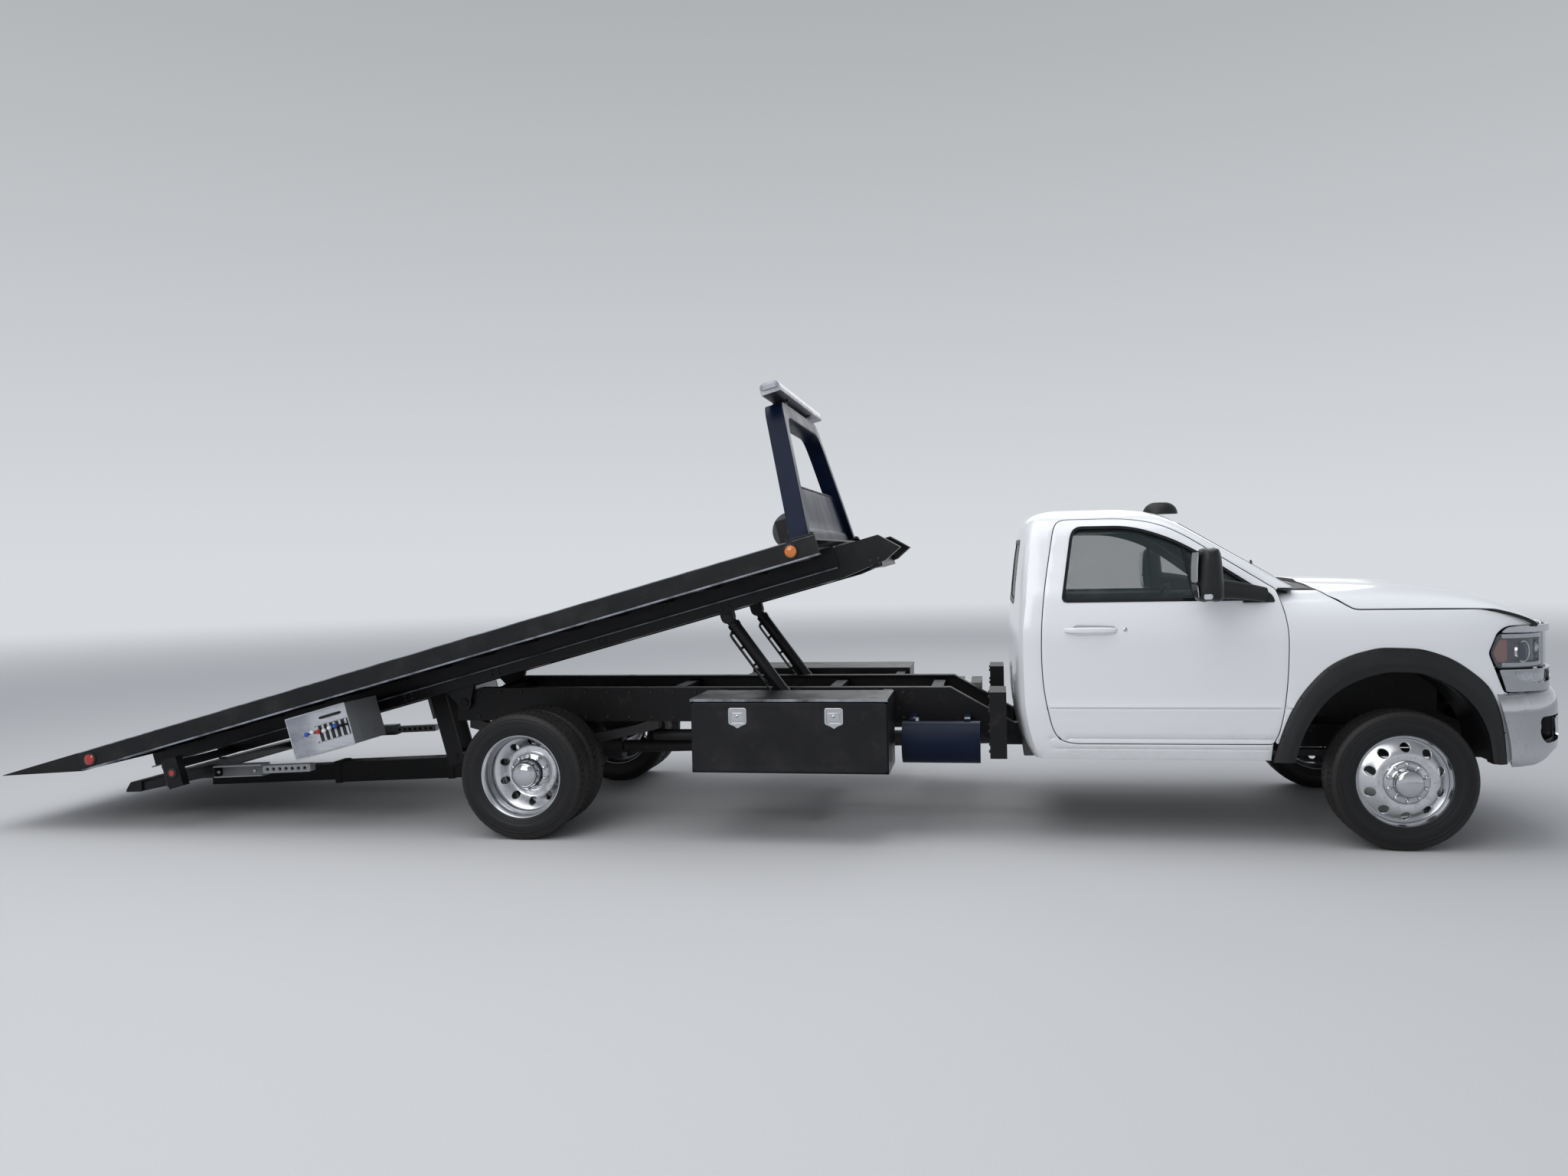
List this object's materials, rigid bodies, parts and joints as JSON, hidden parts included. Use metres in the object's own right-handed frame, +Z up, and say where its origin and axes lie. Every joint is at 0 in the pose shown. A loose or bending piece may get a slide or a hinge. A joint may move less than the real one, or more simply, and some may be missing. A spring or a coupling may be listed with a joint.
{
  "type": "rollback tow truck",
  "caption": "Car-carrier tow truck: two-door cab, dual rear wheels, and a steel bed that tilts and slides back to the ground, with a rear wheel lift.",
  "frame": {"origin": "on the ground, under the middle of the parked truck's length and width", "axes": "+X forwards along the truck, +Y to its left, +Z up"},
  "size_m": [9.897, 2.66, 2.8364],
  "materials": {
    "white_paint": "gloss",
    "bed_paint": "gloss",
    "black_frame": "satin",
    "black_plastic": "matte",
    "bright_trim": "polished",
    "steel": "brushed",
    "lift_grey": "satin",
    "box_alloy": "satin",
    "rim_alloy": "polished",
    "tyre": "matte",
    "glass": "clear",
    "lamp_clear": "gloss",
    "lamp_red": "gloss",
    "iron": "rough",
    "seat_cloth": "matte",
    "tank_blue": "satin"
  },
  "bodies": {
    "chassis": {"chassis_frame": "black_frame", "front_frame": "black_frame", "front_axle": "iron", "springs": "iron", "rear_axle": "iron", "engine_block": "iron", "driveline": "iron", "fuel_tank": "black_plastic", "air_tank": "tank_blue", "exhaust": "steel", "cab_shell": "white_paint", "cab_glass": "glass", "seat": "seat_cloth", "dashboard": "black_plastic", "steering_wheel": "black_plastic", "fenders": "white_paint", "wheel_flares": "black_plastic", "grille": "bright_trim", "headlamps": "lamp_clear", "front_bumper": "bright_trim", "toolboxes": "black_frame", "splash_panels": "black_plastic"},
    "knuckle_left": {"knuckle_left": "iron"},
    "knuckle_right": {"knuckle_right": "iron"},
    "front_wheel_left": {"front_rim_left": "rim_alloy", "front_tyre_left": "tyre"},
    "front_wheel_right": {"front_rim_right": "rim_alloy", "front_tyre_right": "tyre"},
    "rear_wheels_left": {"rear_rims_left": "rim_alloy", "rear_tyres_left": "tyre"},
    "rear_wheels_right": {"rear_rims_right": "rim_alloy", "rear_tyres_right": "tyre"},
    "hood": {"hood": "white_paint"},
    "door_left": {"door_left": "white_paint", "door_glass_left": "glass", "mirror_left": "black_plastic"},
    "door_right": {"door_right": "white_paint", "door_glass_right": "glass", "mirror_right": "black_plastic"},
    "toolbox_door_left": {"toolbox_door_left": "black_frame"},
    "toolbox_door_right": {"toolbox_door_right": "black_frame"},
    "tilt_frame": {"tilt_frame": "black_frame", "tail_bar": "black_frame", "control_stations": "box_alloy", "control_levers": "steel", "tail_lamps": "lamp_red", "slide_barrel": "black_frame"},
    "lift_barrels": {"lift_barrels": "black_frame"},
    "lift_rods": {"lift_rods": "bright_trim"},
    "bed": {"bed_deck": "bed_paint", "pylon": "bed_paint", "headboard": "bed_paint", "light_bar": "lamp_clear", "bed_lamps": "lamp_red", "winch_frame": "black_frame", "slide_rod": "bright_trim"},
    "winch_drum": {"winch_drum": "steel"},
    "boom": {"lift_boom": "black_frame"},
    "stinger": {"stinger": "black_frame"},
    "crossbar": {"crossbar": "lift_grey"}
  },
  "joints": [
    {"name": "steer_left", "type": "hinge", "parent": "chassis", "child": "knuckle_left", "pos_m": [3.94851, 0.7, 0.397], "axis": [0, 0, 1], "range_deg": [-30, 30]},
    {"name": "front_wheel_spin_left", "type": "hinge", "parent": "knuckle_left", "child": "front_wheel_left", "pos_m": [3.94851, 0.899, 0.397], "axis": [0, 1, 0], "continuous": true},
    {"name": "rear_wheels_spin_left", "type": "hinge", "parent": "chassis", "child": "rear_wheels_left", "pos_m": [-1.24549, 0.9625, 0.397], "axis": [0, 1, 0], "continuous": true},
    {"name": "door_hinge_left", "type": "hinge", "parent": "chassis", "child": "door_left", "pos_m": [3.34251, 1.012, 1], "axis": [0, 0, -1], "range_deg": [0, 65]},
    {"name": "toolbox_hinge_left", "type": "hinge", "parent": "chassis", "child": "toolbox_door_left", "pos_m": [0.45851, 1.19, 0.445], "axis": [-1, 0, 0], "range_deg": [0, 95]},
    {"name": "steer_right", "type": "hinge", "parent": "chassis", "child": "knuckle_right", "pos_m": [3.94851, -0.7, 0.397], "axis": [0, 0, 1], "range_deg": [-30, 30]},
    {"name": "front_wheel_spin_right", "type": "hinge", "parent": "knuckle_right", "child": "front_wheel_right", "pos_m": [3.94851, -0.899, 0.397], "axis": [0, 1, 0], "continuous": true},
    {"name": "rear_wheels_spin_right", "type": "hinge", "parent": "chassis", "child": "rear_wheels_right", "pos_m": [-1.24549, -0.9625, 0.397], "axis": [0, 1, 0], "continuous": true},
    {"name": "door_hinge_right", "type": "hinge", "parent": "chassis", "child": "door_right", "pos_m": [3.34251, -1.012, 1], "axis": [0, 0, 1], "range_deg": [0, 65]},
    {"name": "toolbox_hinge_right", "type": "hinge", "parent": "chassis", "child": "toolbox_door_right", "pos_m": [0.45851, -1.19, 0.445], "axis": [1, 0, 0], "range_deg": [0, 95]},
    {"name": "hood_hinge", "type": "hinge", "parent": "chassis", "child": "hood", "pos_m": [3.52101, 0, 1.54], "axis": [0, -1, 0], "range_deg": [0, 50]},
    {"name": "bed_tilt", "type": "hinge", "parent": "chassis", "child": "tilt_frame", "pos_m": [-1.94549, 0, 0.77], "axis": [0, -1, 0], "range_deg": [-15, 0]},
    {"name": "bed_slide", "type": "slide", "parent": "tilt_frame", "child": "bed", "axis": [-0.9659, 0, -0.2588], "range_m": [-0.79, 1.33]},
    {"name": "lift_barrel_swing", "type": "hinge", "parent": "tilt_frame", "child": "lift_barrels", "pos_m": [-0.04978, 0, 1.34525], "axis": [0, -1, 0], "range_deg": [0, 35]},
    {"name": "lift_rod_stroke", "type": "slide", "parent": "lift_barrels", "child": "lift_rods", "axis": [0.5895, 0, -0.8078], "range_m": [-0.4233, 0]},
    {"name": "winch_turn", "type": "hinge", "parent": "bed", "child": "winch_drum", "pos_m": [0.33733, 0, 1.90967], "axis": [0, 1, 0], "continuous": true},
    {"name": "boom_lift", "type": "hinge", "parent": "tilt_frame", "child": "boom", "pos_m": [-2.20127, 0, 0.3298], "axis": [0, 1, 0], "range_deg": [-16, 0]},
    {"name": "boom_reach", "type": "slide", "parent": "boom", "child": "stinger", "axis": [0.9988, 0, 0.0489], "range_m": [-0.45, 0]},
    {"name": "crossbar_swivel", "type": "hinge", "parent": "stinger", "child": "crossbar", "pos_m": [-4.15393, 0, 0.2343], "axis": [-0.0489, 0, 0.9988], "range_deg": [-12, 12]}
  ],
  "couplings": [
    {"joint": "steer_right", "follows": "steer_left", "ratio": 1},
    {"joint": "lift_barrel_swing", "follows": "bed_tilt", "ratio": -2.3198},
    {"joint": "lift_rod_stroke", "follows": "bed_tilt", "m_per_rad": 1.6091}
  ]
}
